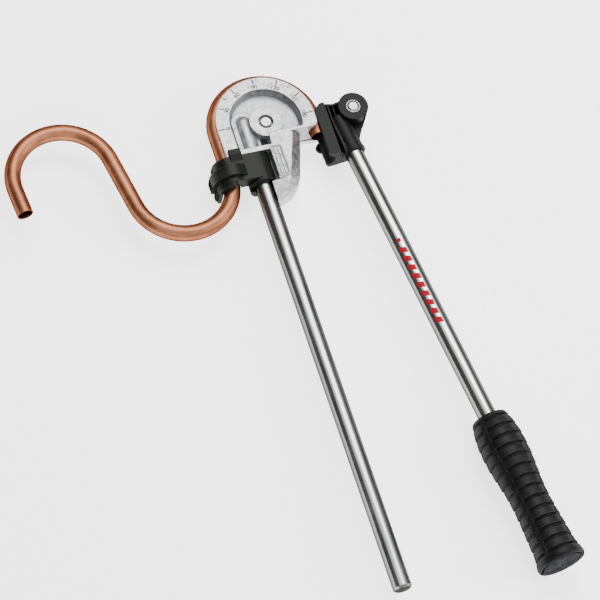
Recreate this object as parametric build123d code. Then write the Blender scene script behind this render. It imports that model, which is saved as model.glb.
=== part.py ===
"""Manual tube bender: a cast former on a fixed bar, with a link, a lever and a sliding shoe.

Frame: millimetres. The origin is on the centre pin's axis, in the plane of the bent tube's
centre line. +Z points out of the scale face, and the fixed bar runs from the former along -Y.
The tool is drawn at the end of a 180 degree bend, with the bent tube still in place.
"""
from build123d import *
from math import sin, cos, radians, asin, atan2, degrees, hypot
import os

os.makedirs("parts", exist_ok=True)

# Workpiece and former
TUBE_R = 7.5               # outer radius of the tube that is bent
TUBE_WALL = 1.0
BEND_R = 46.0              # radius of the bend's centre line, which is also the rim's radius
GROOVE_GAP = 0.3           # air between the tube and every groove
GROOVE_R = TUBE_R + GROOVE_GAP
FACE_Z = 12.0              # half of the former's thickness
RECESS_R = 33.6            # rim's inner radius
FLOOR_Z = 3.0              # floor of the recess in the scale face
BACK_FLOOR_Z = -7.0        # floor of the pockets in the back
BOSS_R = 15.2
BOSS_Z = 11.2
BACK_BOSS_Z = -15.2
END_WALL_Y = -28.6         # lower edge of the casting beside the leg
LEG_LEFT_X = -5.2
PIN_RECESS_R = 6.9         # counterbore round the centre pin's end
PIN_RECESS_Z = 6.4
TICK_LONG = 5.6
TICK_SHORT = 3.4
TICK_WIDTH = 0.8
TICK_DEPTH = 0.6
TICK_EDGE = 1.2            # metal left between a tick and the rim's edge
LABEL_RISE = 0.9
SADDLE_TOP_Y = -59.5       # below this the leg lies open over the bar
SADDLE_LOW = (-13.0, 8.4)  # X and Z where the leg's sloped face meets the bar
SADDLE_HIGH = (2.0, FACE_Z + 0.05)

# Blank bars on the leg's label: offsets from its centre, and lengths
LABEL_BARS = ((2.2, 9.2, 8.0), (2.2, -1.6, 9.6), (2.2, -11.0, 5.2),
              (-1.6, 10.4, 5.6), (-1.6, 0.4, 11.0), (-1.6, -10.0, 6.6))

# Fixed bar
BAR_X = -18.9
BAR_R = 8.5
BAR_END_Y = -463.0
BAR_SEAT_Y = -80.0         # above this the bar is ground down to fit the former and the hook
BAR_SEAT_R = 8.2
BAR_SHOULDER_Y = -25.0
SPIGOT_R = 5.5
SPIGOT_TOP_Y = 4.0
CHAMFER = 1.5
BAR_PIN_R = 2.0            # roll pin through the spigot
BAR_PIN_Y = -6.0
BAR_PIN_HOLE_TOP = 4.4

# Pins, link and lever
PIN_R = 5.0
PRESS_GAP = 0.02
RUN_GAP = 0.05
BUSH_R = 7.0
EYE = (82.5, -4.0)
EYE_R = 14.0
EYE_TOP_Z = 14.0
PLATE_BACK_Z = -12.0       # back of the head's plate, where the shoe sits on its lip
WASHER_T = 0.8
WASHER_R = 12.5
LINK_TOP_Z = -16.0
LINK_T = 6.0
CLIP_T = 1.0
LEVER_X = 66.9             # where the lever's axis crosses Y = 0
LEVER_TILT = 6.8           # degrees between the lever and the fixed bar
SOCKET_R = 10.6
SOCKET_TOP = 8.0           # stations along the lever's axis, from Y = 0 towards the grip
SOCKET_END = 45.5
LEVER_WALL = 2.0
LEVER_PIN_R = 2.5          # roll pin through the socket
LEVER_PIN_STATION = 28.0
PIVOT_TOP_Z = 10.8         # end of the centre pin, below the boss's rim
EYE_PIN_TOP_Z = 14.2
EYE_PIN_CHAMFER = 1.0
EYE_RIM_R = 6.4            # rim of the eye's bush, round the clip
EYE_CLIP_R = 5.5
GRIP_TOP = 331.0
GRIP_END = 478.0
GRIP_RINGS = 14
RING_PITCH = 10.2
FIRST_RING = 4.5           # from the grip's top to its first ring
RING_DEPTH = 1.2

# Shoe and hook
SHOE_FRONT_X = 47.0        # edge of the shoe's flanges, just outside the former's rim
SHOE_BACK_X = 57.6
SHOE_TOP_Y = 7.0
SHOE_END_Y = -46.5
LIP_T = 2.9                # thickness of the head's lip behind the shoe
SCREW_R = 1.5
SCREW_X = 55.8
SCREW_YS = (-10, -36)
RELIEF_ANGLES = (5, 10, 15, 20, 25, 30)   # lets the tube clear the shoe as the head opens
RELIEF_R = TUBE_R + 0.15
HOOK_TOP_Y = -29.4
HOOK_SLEEVE_END_Y = -58.5
HOOK_R = 13.2
CLAW_CLEAR = 0.4           # air between the hook's claw and the tube

# Centres of the two free bends of the workpiece, and its open ends
LOWER_BEND = (-2 * BEND_R, -43.7)
UPPER_BEND = (-191.8, -8.3)
FREE_LEG_LEAN = 5.0        # degrees that the free leg leans away from the Y axis
FREE_LEG_LENGTH = 25.3
SHOE_LEG_LENGTH = 20.0

LEVER_AXIS = Location((LEVER_X, 0, 0), (0, 0, LEVER_TILT))


def rod(radius, start, end):
    """A round bar between two points."""
    direction = Vector(*end) - Vector(*start)
    plane = Plane(origin=start, z_dir=direction)
    return extrude(plane * Circle(radius), direction.length)


def upright(radius, centre, low, high):
    """A round bar along Z, centred on an XY point."""
    return rod(radius, (centre[0], centre[1], low), (centre[0], centre[1], high))


def upright_ring(inner, outer, centre, low, high):
    """A tube along Z, with its bore running clean through both ends."""
    return upright(outer, centre, low, high) - upright(inner, centre, low - 1, high + 1)


def block(x, y, z):
    """A box from three (low, high) pairs."""
    size = (x[1] - x[0], y[1] - y[0], z[1] - z[0])
    return Pos(sum(x) / 2, sum(y) / 2, sum(z) / 2) * Box(*size)


def slab(points, low, high):
    """A polygon in XY, pulled from one height to another."""
    face = make_face(Polyline(*points, close=True))
    return extrude(Pos(0, 0, low) * face, high - low)


def polar(radius, angle, centre=(0, 0)):
    """The XY point at an angle in degrees round a centre."""
    return centre[0] + radius * cos(radians(angle)), centre[1] + radius * sin(radians(angle))


def along_lever(shape):
    """Turn a shape drawn along -Y through the origin on to the lever's axis."""
    return LEVER_AXIS * shape


# ---------------------------------------------------------------- the former


def groove_cutter(radius):
    """The half ring and two straight runs that the bent tube fills."""
    ring = revolve(Plane.XZ * Pos(BEND_R, 0) * Circle(radius), Axis.Z, 180)
    left = rod(radius, (-BEND_R, END_WALL_Y - 1, 0), (-BEND_R, 0, 0))
    right = rod(radius, (BEND_R, SHOE_END_Y, 0), (BEND_R, 0, 0))
    return ring + left + right


def former_disc():
    """Upper half disc, with the entry channel on the left and a short end on the right."""
    corner = 5.5
    low_y = -14.5
    line = Polyline(
        (-BEND_R, 0), (-BEND_R, END_WALL_Y), (LEG_LEFT_X, END_WALL_Y),
        (LEG_LEFT_X, -24), (12, low_y), (BEND_R - corner, low_y))
    round_corner = Line((BEND_R, low_y + corner), (BEND_R, 0))
    bend = CenterArc((BEND_R - corner, low_y + corner), corner, -90, 90)
    top = CenterArc((0, 0), BEND_R, 0, 180)
    face = make_face([line, bend, round_corner, top])
    return extrude(Pos(0, 0, -FACE_Z) * face, 2 * FACE_Z)


def former_leg():
    """Leg beside the bar: a flank slopes out from the scale face, then drops to the back."""
    front = [(LEG_LEFT_X, -20), (14, -12), (20.5, -15.5), (13, -37.5), (8.5, -51), (5, -60.5),
             (1, -68.3), (-5, -72), (-13, -75.5), (-13, SADDLE_TOP_Y), (LEG_LEFT_X, SADDLE_TOP_Y)]
    wide = [(LEG_LEFT_X, -20), (22, -12), (29, -15), (23, -36), (19, -48), (16.5, -57.5),
            (12, -66), (5, -73), (-11, -79), (-11, SADDLE_TOP_Y), (LEG_LEFT_X, SADDLE_TOP_Y)]
    flank_z = 2.0
    faces = [make_face(Polyline(*wide, close=True)).moved(Location((0, 0, flank_z))),
             make_face(Polyline(*front, close=True)).moved(Location((0, 0, FACE_Z)))]
    flank = loft(faces, ruled=True)
    back = slab(wide, -10, flank_z)
    rear_rest = block((-25, -10), (-76, SADDLE_TOP_Y), (-10, -3))
    return flank + back + rear_rest


def saddle_slope():
    """Wedge cut that lets the leg's face fall gently to the bar below the hook."""
    left, top, length = -30, 30, 30
    section = [(left, SADDLE_LOW[1]), SADDLE_LOW, SADDLE_HIGH, (SADDLE_HIGH[0], top), (left, top)]
    face = make_face(Polyline(*section, close=True))
    return extrude(Plane.XZ.offset(-SADDLE_TOP_Y) * face, length)


def recess_face(inset, height):
    """Outline of the recess at one height, drawn in from the rim by an inset."""
    radius = RECESS_R - inset
    low_y = -11.7 + inset
    right_angle = degrees(asin(low_y / radius))
    arc = CenterArc((0, 0), radius, right_angle, 180 - right_angle)
    line = Polyline(arc @ 1, (-radius, -24 + inset), (-2 - inset, -24 + inset),
                    (-1 - inset, -13 + inset), (9, low_y), arc @ 0)
    return Pos(0, 0, height) * make_face([arc, line])


def recess_cutter():
    """Sunken field inside the rim, with drafted walls."""
    return loft([recess_face(2.4, FLOOR_Z), recess_face(0, FACE_Z)], ruled=True)


def bar_ridge():
    """Half-round cover over the bar's spigot, with a domed end on a low step."""
    dome_y = 6.0
    end_y = END_WALL_Y
    ridge = rod(BAR_R, (BAR_X, end_y, 0), (BAR_X, dome_y, 0))
    ridge += Pos(BAR_X, dome_y, 0) * Sphere(BAR_R)
    step_r = 11.3
    step_z = FLOOR_Z + 1.6
    step = block((BAR_X - step_r, BAR_X + step_r), (end_y, dome_y), (0, step_z))
    step += upright(step_r, (BAR_X, dome_y), 0, step_z)
    return (ridge + step) & block((-40, 20), (-24.5, 30), (0, FACE_Z))


def back_pockets():
    """Three pockets in the back, with ribs left between them."""
    inner, outer = 18.0, 33.0
    low, high = -FACE_Z - 1, BACK_FLOOR_Z
    field = upright_ring(inner, outer, (0, 0), low, high)
    cutter = None
    for start, end in ((8, 58), (66, 116), (124, 172)):
        wedge = slab([(0, 0), polar(60, start), polar(60, (start + end) / 2), polar(60, end)],
                     low, high)
        piece = field & wedge
        cutter = piece if cutter is None else cutter + piece
    return cutter


def scale_marks():
    """Engraved ticks every 30 degrees, with short ones at 45 and 135."""
    marks = []
    for angle in (0, 30, 45, 60, 90, 120, 135, 150, 180):
        length = TICK_SHORT if angle in (45, 135) else TICK_LONG
        centre_x = BEND_R - TICK_EDGE - length / 2
        tick = Pos(centre_x, 0, FACE_Z) * Box(length, TICK_WIDTH, 2 * TICK_DEPTH)
        marks.append(Rot(0, 0, 180 - angle) * tick)
    return marks


def cast_label():
    """Raised frame on the leg with blank bars in it."""
    low_y, high_y = -58.5, -26.5
    width, border = 10.6, 0.9
    height = high_y - low_y
    centre = (0.4, (low_y + high_y) / 2)
    rounding = 2.6
    frame = RectangleRounded(width, height, rounding)
    frame -= RectangleRounded(width - 2 * border, height - 2 * border, rounding - border)
    label = extrude(Pos(*centre, FACE_Z - 0.1) * frame, LABEL_RISE + 0.1)
    for x, y, length in LABEL_BARS:
        label += block((centre[0] + x - 1.0, centre[0] + x + 1.0),
                       (centre[1] + y - length / 2, centre[1] + y + length / 2),
                       (FACE_Z - 0.1, FACE_Z + LABEL_RISE))
    return label


def bending_former():
    body = former_disc() + former_leg()
    body -= recess_cutter()
    body += upright(BOSS_R, (0, 0), 0, BOSS_Z)
    body += bar_ridge()
    body -= block((-9.4, -2.2), (-23.6, -13.0), (-3.0, FLOOR_Z + 1.7))
    body -= back_pockets()
    body += upright(EYE_R, (0, 0), BACK_BOSS_Z, -FACE_Z + 1)
    body -= groove_cutter(GROOVE_R)
    body -= upright(PIN_R + PRESS_GAP, (0, 0), -20, 20)
    body -= upright(PIN_RECESS_R, (0, 0), PIN_RECESS_Z, 20)
    body -= rod(SPIGOT_R + PRESS_GAP, (BAR_X, END_WALL_Y - 1, 0), (BAR_X, SPIGOT_TOP_Y + 0.5, 0))
    body -= rod(BAR_SEAT_R + PRESS_GAP, (BAR_X, END_WALL_Y - 1, 0), (BAR_X, BAR_SHOULDER_Y, 0))
    body -= rod(BAR_SEAT_R + PRESS_GAP, (BAR_X, -90, 0), (BAR_X, -59.0, 0))
    body -= upright(BAR_PIN_R + PRESS_GAP, (BAR_X, BAR_PIN_Y), -20, BAR_PIN_HOLE_TOP)
    body -= rod(0.9, (-40, 2, 6), (-28.5, 2, 5)) & block((-34.4, -20), (-5, 8), (0, 10))
    body -= saddle_slope()
    for mark in scale_marks():
        body -= mark
    body += cast_label()
    return body


# ------------------------------------------------------------ bar and pins


def fixed_bar():
    full = rod(BAR_R, (BAR_X, BAR_END_Y, 0), (BAR_X, BAR_SEAT_Y, 0))
    end = full.faces().sort_by(Axis.Y)[0]
    full = chamfer(end.edges(), CHAMFER)
    full += rod(BAR_SEAT_R, (BAR_X, BAR_SEAT_Y - 1, 0), (BAR_X, BAR_SHOULDER_Y - 0.05, 0))
    spigot = rod(SPIGOT_R, (BAR_X, BAR_SHOULDER_Y - 1, 0), (BAR_X, SPIGOT_TOP_Y, 0))
    cross_hole = upright(BAR_PIN_R + PRESS_GAP, (BAR_X, BAR_PIN_Y), -9, BAR_PIN_HOLE_TOP)
    return full + spigot - cross_hole


def spring_pin(radius, centre, low, high):
    """Rolled pin: a thin tube with a slot down one side."""
    wall = 0.25 * radius
    tube = upright_ring(radius - wall, radius, centre, low, high)
    slot = block((centre[0], centre[0] + 2 * radius),
                 (centre[1] - 0.12 * radius, centre[1] + 0.12 * radius), (low - 1, high + 1))
    return tube - slot


def grooved_pin(centre, low, high, groove_low, top_chamfer=0.5, head_r=0.0, head_t=0.0):
    """Plain pin with chamfered ends, a clip groove and, if asked, a flat head below."""
    pin = upright(PIN_R, centre, low, high)
    ends = pin.edges().filter_by(GeomType.CIRCLE).sort_by(Axis.Z)
    pin = chamfer(ends[0], 0.5)
    top = pin.edges().filter_by(GeomType.CIRCLE).sort_by(Axis.Z)[-1]
    pin = chamfer(top, top_chamfer)
    if head_r:
        pin += upright(head_r, centre, low - head_t, low)
    groove = upright_ring(PIN_R - 0.6, PIN_R + 1, centre, groove_low - 0.05,
                          groove_low + CLIP_T + 0.05)
    return pin - groove


def retaining_clip(centre, low, outer):
    """Open spring clip that sits in a pin's groove."""
    ring = upright_ring(PIN_R - 0.55, outer, centre, low, low + CLIP_T)
    gap = block((centre[0] + 1, centre[0] + outer + 1),
                (centre[1] - 1.3, centre[1] + 1.3), (low - 1, low + CLIP_T + 1))
    return ring - gap


LINK_LOW_Z = LINK_TOP_Z - LINK_T
CENTRE_CLIP_Z = LINK_LOW_Z - WASHER_T - 0.1 - CLIP_T
EYE_BUSH_TOP = 11.2
EYE_CLIP_Z = 11.4


def rear_link():
    """Flat link behind the former, from the centre pin to the eye pin."""
    length = hypot(*EYE)
    angle = degrees(atan2(EYE[1], EYE[0]))
    face = Pos(length / 2, 0) * SlotCenterToCenter(length, 24)
    window = Pos(length / 2, 0) * SlotCenterToCenter(24, 8)
    plate = extrude(Pos(0, 0, LINK_LOW_Z) * (Rot(0, 0, angle) * (face - window)), LINK_T)
    plate -= upright(BUSH_R + PRESS_GAP, (0, 0), -40, 0)
    return plate - upright(PIN_R + PRESS_GAP, EYE, -40, 0)


def centre_bush():
    return upright_ring(PIN_R + RUN_GAP, BUSH_R, (0, 0), LINK_LOW_Z, LINK_TOP_Z)


def eye_bush():
    """Steel bush with a thin rim that stands round the clip."""
    bush = upright_ring(PIN_R + RUN_GAP, BUSH_R, EYE, BACK_BOSS_Z + 0.2, EYE_BUSH_TOP)
    return bush + upright_ring(EYE_CLIP_R + 0.3, EYE_RIM_R, EYE, EYE_BUSH_TOP - 0.5, 13.8)


# -------------------------------------------------------------- lever head


def lever_head():
    """Casting that holds the lever in a socket, turns on the eye and carries the shoe."""
    left = SHOE_BACK_X + 0.05
    outline = [(left, SHOE_TOP_Y + 0.5), (61, SHOE_TOP_Y), (66, 5.8), (72, 7.5), (82, 8), (95, -8),
               (84.5, -27), (79, -40), (75, -44), (65, -45.5), (left, SHOE_END_Y + 0.5)]
    body = slab(outline, PLATE_BACK_Z, -3)
    # lip behind the shoe, with a small rounded ear towards the former
    lip_high = PLATE_BACK_Z - 0.05
    lip_low = lip_high - LIP_T
    lip = slab([(50, 6), (70, 6), (70, -20), (66, -44), (49, -45.5), (47.5, -35), (48.5, -4)],
               lip_low, lip_high)
    lip += upright(5.0, (48.3, -26), lip_low, lip_high)
    lip += slab([(62, 5), (72, 6), (72, -38), (62, -42)], -13, -11)
    body += lip
    body += upright(EYE_R, EYE, BACK_BOSS_Z, EYE_TOP_Z)
    # web between the eye and the socket
    body += slab([(72, 2), (95, -8), (84.5, -27), (74, -30), (70, -12)], -12, 2.5)
    # pocket walls: along the top, beside the trench, and two upright ribs
    body += slab([(left, 7.5), (61, SHOE_TOP_Y), (66, 5.8), (74, 7.2), (74, 4.8), (66, 3.6),
                  (60, 5.0), (left, 5.0)], -4, 7.5)
    body += slab([(60.2, 6), (61.8, 6), (61.8, -12), (65.4, -45), (62.9, -45.4), (60.2, -12)],
                 -4, 8.2)
    body += slab([(65.4, 5.4), (66.8, 5.4), (66.6, -9), (65.2, -9)], -4, 6.0)
    body += slab([(left, -43.8), (65, -43.0), (65, -45.4), (left, SHOE_END_Y + 0.5)], -4, 4.0)
    socket = rod(SOCKET_R, (0, -SOCKET_TOP, 0), (0, -SOCKET_END + 3, 0))
    socket += rod(SOCKET_R + 0.7, (0, -SOCKET_END + 3.2, 0), (0, -SOCKET_END, 0))
    body += along_lever(socket)
    body -= along_lever(rod(BAR_R + PRESS_GAP, (0, -SOCKET_TOP - 5, 0), (0, -SOCKET_END - 5, 0)))
    body -= along_lever(upright(LEVER_PIN_R + PRESS_GAP, (0, -LEVER_PIN_STATION), -20, -2))
    body -= upright(BUSH_R + PRESS_GAP, EYE, -20, EYE_BUSH_TOP + 0.05)
    body -= upright(EYE_RIM_R + 0.3, EYE, EYE_BUSH_TOP, 20)
    for y in SCREW_YS:
        body -= upright(SCREW_R + 0.1, (SCREW_X, y), -20, -11)
        body -= Pos(SCREW_X, y, -14.2) * Cone(3.1, SCREW_R + 0.1, 1.61)
    shoe_seat = block((SHOE_BACK_X - 20, left), (SHOE_END_Y - 5, SHOE_TOP_Y + 5), (-12.05, 20))
    return body - shoe_seat


def slide_shoe():
    """Grooved block that presses the tube round the former."""
    lead = 12.0
    arc = CenterArc((SHOE_FRONT_X + lead, -4), lead, 180, -65)
    line = Polyline(arc @ 1, (SHOE_BACK_X, SHOE_TOP_Y), (SHOE_BACK_X, SHOE_END_Y),
                    (SHOE_FRONT_X + 1.5, SHOE_END_Y), (SHOE_FRONT_X, SHOE_END_Y + 1.5), arc @ 0)
    body = extrude(Pos(0, 0, -FACE_Z) * make_face([arc, line]), 2 * FACE_Z)
    body -= rod(GROOVE_R, (BEND_R, SHOE_END_Y - 5, 0), (BEND_R, 0, 0))
    mouth = Plane.XZ * Pos(BEND_R, 0) * Circle(GROOVE_R)
    turn = Axis((SHOE_FRONT_X + lead + 7.5, 0, 0), (0, 0, 1))
    body -= revolve(mouth, turn, -60)
    for angle in RELIEF_ANGLES:
        body -= Pos(*EYE) * Rot(0, 0, -angle) * Pos(-EYE[0], -EYE[1]) * groove_cutter(RELIEF_R)
    for y in SCREW_YS:
        body -= upright(SCREW_R + PRESS_GAP, (SCREW_X, y), -14, -5)
    return body


def shoe_screws():
    """Two countersunk screws that hold the shoe to the lip, from behind."""
    screws = []
    for y in SCREW_YS:
        screw = upright(SCREW_R, (SCREW_X, y), -13.6, -5.2)
        screw += Pos(SCREW_X, y, -14.2) * Cone(3.0, SCREW_R, 1.5)
        screw -= Pos(SCREW_X, y, -15) * extrude(RegularPolygon(1.1, 6), 1.4)
        screws.append(screw)
    return Compound(children=screws)


def lever_tube():
    outer = rod(BAR_R, (0, -SOCKET_TOP - 5.1, 0), (0, -GRIP_END + 6, 0))
    bore = rod(BAR_R - LEVER_WALL, (0, 0, 0), (0, -GRIP_END, 0))
    cross_hole = upright(LEVER_PIN_R + PRESS_GAP, (0, -LEVER_PIN_STATION), -12, -2)
    return along_lever(outer - bore - cross_hole)


def lever_roll_pin():
    return along_lever(spring_pin(LEVER_PIN_R, (0, -LEVER_PIN_STATION), -10.4, -3))


# -------------------------------------------------------------------- grip


GRIP_PROFILE = [(331, 15.6), (334, 17.0), (340, 18.4), (350, 20.0), (362, 20.4), (374, 20.0),
                (388, 18.6), (402, 17.1), (416, 16.7), (430, 17.2), (445, 18.2), (458, 19.0),
                (468, 20.0), (472, 21.4), (475, 22.0), (478, 21.2)]
CAP_R = 17.5
CAP_T = 2.5


def grip():
    """Rubber handle: waisted body, flared end, ring grooves broken by four smooth lands."""
    edge = Spline(*[(r, -s) for s, r in GRIP_PROFILE])
    bore_r = BAR_R + PRESS_GAP
    line = Polyline(edge @ 1, (CAP_R, -GRIP_END), (CAP_R, -GRIP_END + CAP_T),
                    (bore_r, -GRIP_END + CAP_T), (bore_r, -GRIP_TOP), edge @ 0)
    body = revolve(make_face([edge, line]), Axis.Y, 360)
    for index in range(GRIP_RINGS):
        y = -(GRIP_TOP + FIRST_RING + index * RING_PITCH)
        radius = grip_radius(-y)
        cutter = Pos(0, y, 0) * Rot(90, 0, 0) * (
            Cylinder(radius + 4, 1.8) - Cylinder(radius - RING_DEPTH, 3))
        for turn in (0, 90):
            cutter -= Pos(0, y, 0) * Rot(0, turn + 45, 0) * Box(60, 4, 4.6)
        body -= cutter
    return along_lever(body)


def grip_radius(station):
    """Outer radius of the grip at a station, straight between the profile's points."""
    for (s0, r0), (s1, r1) in zip(GRIP_PROFILE, GRIP_PROFILE[1:]):
        if s0 <= station <= s1:
            return r0 + (r1 - r0) * (station - s0) / (s1 - s0)
    return GRIP_PROFILE[-1][1]


def grip_end_cap():
    """Plastic plug in the grip's end, with a shank in the lever's bore and a small vent."""
    disc = rod(CAP_R - 0.05, (0, -GRIP_END + CAP_T - 0.05, 0), (0, -GRIP_END - 0.6, 0))
    shank = rod(BAR_R - LEVER_WALL - PRESS_GAP, (0, -GRIP_END + 16, 0), (0, -GRIP_END + 1, 0))
    vent = rod(1.3, (0, -GRIP_END + 30, 0), (0, -GRIP_END - 5, 0))
    return along_lever(disc + shank - vent)


# -------------------------------------------------------------------- hook


def tube_clearance(radius):
    """Space that the tube takes beside the bar, open below so that the hook lifts off."""
    straight = rod(radius, (-BEND_R, LOWER_BEND[1], 0), (-BEND_R, -20, 0))
    section = Plane.XZ.offset(-LOWER_BEND[1]) * Pos(-BEND_R, 0) * Circle(radius)
    turn = Axis((LOWER_BEND[0], LOWER_BEND[1], 0), (0, 0, 1))
    bend = revolve(section, turn, -60)
    slot = block((-BEND_R - radius, -BEND_R + radius), (LOWER_BEND[1], -20), (-30, 0))
    sweep = upright_ring(BEND_R - radius, BEND_R + radius, LOWER_BEND, -30, 0)
    sweep &= block((-70, 0), (-95, LOWER_BEND[1]), (-30, 0))
    return straight + bend + slot + sweep


def claw_section(outer, low):
    """Arm over the tube and wall down its far side, seen along the bar."""
    arch = Pos(-BEND_R, 0) * Circle(outer)
    wall = Pos(-BEND_R - outer / 2, low / 2) * Rectangle(outer, -low)
    arm = Pos((BAR_X - BEND_R) / 2, 8) * Rectangle(BAR_X + BEND_R, 11)
    keep = Pos(-BEND_R - outer / 2, (outer + low) / 2) * Rectangle(outer, outer - low)
    right = Pos(-BEND_R + outer / 2, outer / 2) * Rectangle(outer, outer)
    return (arch & (keep + right)) + wall + arm


def claw_slab(outer, low, y_low, y_high):
    section = Plane.XZ.offset(-y_high) * claw_section(outer, low)
    return extrude(section, y_high - y_low)


def tube_hook():
    """Hook that turns on the bar and holds the tube in the former's entry."""
    body = rod(HOOK_R, (BAR_X, HOOK_SLEEVE_END_Y, 0), (BAR_X, HOOK_TOP_Y, 0))
    body += claw_slab(13.6, -9, -37.0, HOOK_TOP_Y)
    body += claw_slab(12.6, -7, -40.0, -36.0)
    body += claw_slab(18.8, -11, -50.5, -39.5)
    body += claw_slab(15.6, -17, -55.5, -50.0)
    # lowest lobe, which reaches over the start of the tube's bend on its outer side
    body += claw_slab(15.0, -14, -59.4, -55.0) & block((-70, -46.5), (-62, -54), (-20, 20))
    # tongue that lies over the former's face and slopes down on to the arm
    tongue = [(-23, 12.6), (-23, 15.0), (-28.5, 15.6), (-38.5, 12.5), (-38.5, 10),
              (HOOK_TOP_Y, 10), (HOOK_TOP_Y, 12.6)]
    side = Plane.YZ.offset(-43.8) * make_face(Polyline(*tongue, close=True))
    body += extrude(side, 11.0)
    # stop ear at the sleeve's lower left
    body += block((-33.0, -25.0), (-62.0, -54.0), (-11.0, -1.0)) & rod(
        HOOK_R, (BAR_X, -70, 0), (BAR_X, -50, 0))
    body -= tube_clearance(TUBE_R + CLAW_CLEAR)
    body -= rod(BAR_SEAT_R + RUN_GAP, (BAR_X, -80, 0), (BAR_X, -20, 0))
    return body


# --------------------------------------------------------------- workpiece


def cross_tangent(first, second):
    """Heading in degrees of the straight between two bends that curve opposite ways."""
    dx, dy = second[0] - first[0], second[1] - first[1]
    return degrees(atan2(dy, dx) - asin(2 * BEND_R / hypot(dx, dy)))


def workpiece_path():
    """Centre line: free leg, upper bend, lower bend, hook, half turn on the former, end."""
    heading = cross_tangent(UPPER_BEND, LOWER_BEND)
    leg_angle = 180 + FREE_LEG_LEAN
    leave_angle = heading + 90
    start = polar(BEND_R, leg_angle, UPPER_BEND)
    end = (start[0] + FREE_LEG_LENGTH * sin(radians(FREE_LEG_LEAN)),
           start[1] - FREE_LEG_LENGTH * cos(radians(FREE_LEG_LEAN)))
    upper = CenterArc(UPPER_BEND, BEND_R, leg_angle, leave_angle - leg_angle)
    lower = CenterArc(LOWER_BEND, BEND_R, heading - 90, 90 - heading)
    return Wire([
        Line(end, start), upper, Line(upper @ 1, lower @ 0), lower,
        Line((-BEND_R, LOWER_BEND[1]), (-BEND_R, 0)),
        CenterArc((0, 0), BEND_R, 180, -180),
        Line((BEND_R, 0), (BEND_R, -SHOE_LEG_LENGTH))])


def copper_tube():
    """The bent tube, swept along straights and tangent arcs."""
    path = workpiece_path()
    plane = Plane(origin=path @ 0, z_dir=path % 0)
    section = Circle(TUBE_R) - Circle(TUBE_R - TUBE_WALL)
    return sweep(plane * section, path=path)


# ------------------------------------------------------------------ export


def washer(centre, low):
    return upright_ring(PIN_R + RUN_GAP, WASHER_R, centre, low, low + WASHER_T)


SUB_PARTS = {
    "bending_former": bending_former(),
    "fixed_bar": fixed_bar(),
    "bar_roll_pin": spring_pin(BAR_PIN_R, (BAR_X, BAR_PIN_Y), -11.8, 4.2),
    "tube_hook": tube_hook(),
    "centre_pin": grooved_pin((0, 0), CENTRE_CLIP_Z - 1.6, PIVOT_TOP_Z, CENTRE_CLIP_Z),
    "centre_bush": centre_bush(),
    "centre_inner_washer": washer((0, 0), LINK_TOP_Z),
    "centre_outer_washer": washer((0, 0), LINK_LOW_Z - WASHER_T),
    "centre_clip": retaining_clip((0, 0), CENTRE_CLIP_Z, 8.5),
    "rear_link": rear_link(),
    "eye_pin": grooved_pin(EYE, LINK_LOW_Z, EYE_PIN_TOP_Z, EYE_CLIP_Z, EYE_PIN_CHAMFER,
                           head_r=8.0, head_t=3.0),
    "eye_bush": eye_bush(),
    "eye_washer": washer(EYE, LINK_TOP_Z),
    "eye_clip": retaining_clip(EYE, EYE_CLIP_Z, EYE_CLIP_R),
    "lever_head": lever_head(),
    "slide_shoe": slide_shoe(),
    "shoe_screws": shoe_screws(),
    "lever_tube": lever_tube(),
    "lever_roll_pin": lever_roll_pin(),
    "grip": grip(),
    "grip_end_cap": grip_end_cap(),
    "copper_tube": copper_tube(),
}

for node, shape in SUB_PARTS.items():
    export_step(shape, f"parts/{node}.step")
    print(node, round(shape.volume), "mm3")
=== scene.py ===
# %% [markdown]
# # A manual tube bender
#
# The real tool is a die-cast former with a half-round groove round its rim. A plain steel bar
# is pressed into it, and a long lever carries a grooved shoe that wraps a copper tube round
# the rim. The metal parts come from the CAD model, which already has their true shapes, so
# this script only gives them their finishes. It then builds the pieces that CAD draws plainly:
# the moulded grip and its end cap, the numbers on the scale, and the printed bars.

# %% Load the CAD model
import math

import bpy
import numpy as np
from mathutils import Euler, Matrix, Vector


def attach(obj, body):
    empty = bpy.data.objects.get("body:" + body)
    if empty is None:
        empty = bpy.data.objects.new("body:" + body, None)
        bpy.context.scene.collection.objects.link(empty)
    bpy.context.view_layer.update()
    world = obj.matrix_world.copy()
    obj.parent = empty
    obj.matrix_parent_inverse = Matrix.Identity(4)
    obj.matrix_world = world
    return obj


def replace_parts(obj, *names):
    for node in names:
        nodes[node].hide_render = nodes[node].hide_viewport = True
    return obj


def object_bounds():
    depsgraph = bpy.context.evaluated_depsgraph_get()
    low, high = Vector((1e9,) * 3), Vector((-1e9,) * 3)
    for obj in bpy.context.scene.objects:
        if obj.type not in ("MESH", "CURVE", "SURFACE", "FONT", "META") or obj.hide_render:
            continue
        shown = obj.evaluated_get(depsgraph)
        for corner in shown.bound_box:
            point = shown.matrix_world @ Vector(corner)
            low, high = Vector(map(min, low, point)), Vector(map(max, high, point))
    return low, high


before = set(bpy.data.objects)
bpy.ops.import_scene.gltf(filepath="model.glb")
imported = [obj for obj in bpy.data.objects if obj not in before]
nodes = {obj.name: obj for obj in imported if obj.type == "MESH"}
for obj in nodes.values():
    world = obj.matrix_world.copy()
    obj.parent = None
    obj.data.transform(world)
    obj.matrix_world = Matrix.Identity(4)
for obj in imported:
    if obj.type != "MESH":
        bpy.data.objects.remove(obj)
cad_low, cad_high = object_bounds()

MM = 0.001
print(len(nodes), "CAD nodes, box in mm:", [round(v / MM) for v in (*cad_low, *cad_high)])

# %% [markdown]
# ## The camera
#
# The tool lies flat and is seen from above its free end, a little from the left. A long lens
# from almost three metres keeps the two bars nearly the same width from end to end. The
# camera is made first, so that every later choice can be judged through it.

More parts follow.
